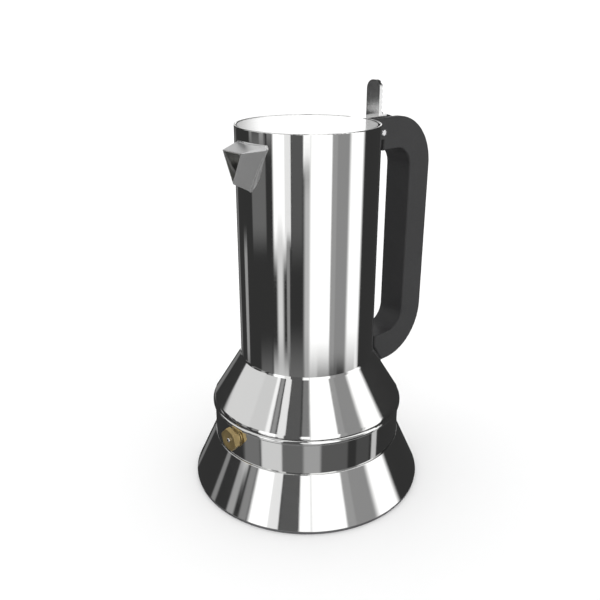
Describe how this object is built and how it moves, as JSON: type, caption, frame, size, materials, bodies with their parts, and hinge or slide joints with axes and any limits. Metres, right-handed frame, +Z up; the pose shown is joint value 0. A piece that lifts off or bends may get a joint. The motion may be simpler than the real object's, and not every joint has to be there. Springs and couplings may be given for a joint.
{
  "type": "moka pot",
  "caption": "Stove-top espresso pot in polished steel: flared boiler base, cylindrical upper vessel with V spout, hinged lid with thumb lever, and a black loop handle that works the latch.",
  "frame": {"origin": "centre of the flat face under the boiler, at the height the pot stands on", "axes": "+Z up along the pot's axis; +X toward the handle, -X toward the spout; Y across the handle's width"},
  "size_m": [0.1464, 0.1232, 0.2072],
  "materials": {
    "polished_steel": "mirror-polished stainless steel",
    "lid_steel": "polished stainless steel sheet, slightly softer than the body",
    "spout_steel": "satin-polished stainless steel casting",
    "base_steel": "turned stainless steel base sheet",
    "satin_steel": "satin stainless steel, inner parts",
    "spring_steel": "bright hardened steel, small hardware",
    "lever_steel": "linished stainless steel",
    "aluminium": "plain aluminium heat-spreading disc",
    "brass": "turned brass, satin",
    "silicone": "off-white moulded silicone",
    "black_grip": "matte black moulded heat-proof plastic"
  },
  "bodies": {
    "boiler": {"base_cap": "base_steel", "diffuser_disc": "aluminium", "boiler_base": "polished_steel", "boiler_collar": "polished_steel", "valve_washer": "brass", "valve_body": "brass", "valve_nut": "brass", "valve_seat": "brass"},
    "relief_valve": {"valve_plunger": "spring_steel", "valve_spring": "spring_steel"},
    "funnel": {"funnel_cup": "satin_steel", "funnel_stem": "satin_steel", "funnel_sieve": "satin_steel"},
    "vessel": {"vessel_shell": "polished_steel", "vessel_floor": "satin_steel", "gasket": "silicone", "filter_plate": "satin_steel", "riser_tube": "satin_steel", "riser_head": "satin_steel", "spout": "spout_steel", "spout_plate": "spout_steel", "catch_housing": "satin_steel", "hinge_bracket": "satin_steel", "hinge_pin": "spring_steel", "pin_retainers": "spring_steel"},
    "front_catch": {"catch_bolt": "satin_steel"},
    "lid": {"lid_disc": "lid_steel", "lid_knuckle": "satin_steel", "thumb_lever": "lever_steel", "lever_rivets": "spring_steel"},
    "handle": {"handle_grip": "black_grip", "latch_hook": "satin_steel", "latch_screws": "spring_steel"}
  },
  "joints": [
    {"name": "vessel_lift", "type": "slide", "parent": "boiler", "child": "vessel", "axis": [0, 0, 1], "range_m": [0, 0.13]},
    {"name": "funnel_lift", "type": "slide", "parent": "boiler", "child": "funnel", "axis": [0, 0, 1], "range_m": [0, 0.065]},
    {"name": "valve_press", "type": "slide", "parent": "boiler", "child": "relief_valve", "axis": [-1, 0, 0], "range_m": [0, 0.0012], "stiffness_N_per_m": 1500, "springref_m": -0.0005},
    {"name": "catch_retract", "type": "slide", "parent": "vessel", "child": "front_catch", "axis": [-1, 0, 0], "range_m": [0, 0.0022], "stiffness_N_per_m": 1500, "springref_m": -0.0005},
    {"name": "lid_hinge", "type": "hinge", "parent": "vessel", "child": "lid", "pos_m": [0.0451, 0, 0.1817], "axis": [0, 1, 0], "range_deg": [0, 65]},
    {"name": "handle_swing", "type": "hinge", "parent": "vessel", "child": "handle", "pos_m": [0.0451, 0, 0.1817], "axis": [0, -1, 0], "range_deg": [0, 6]}
  ],
  "couplings": [
    {"joint": "funnel_lift", "follows": "vessel_lift", "ratio": 0.5}
  ]
}
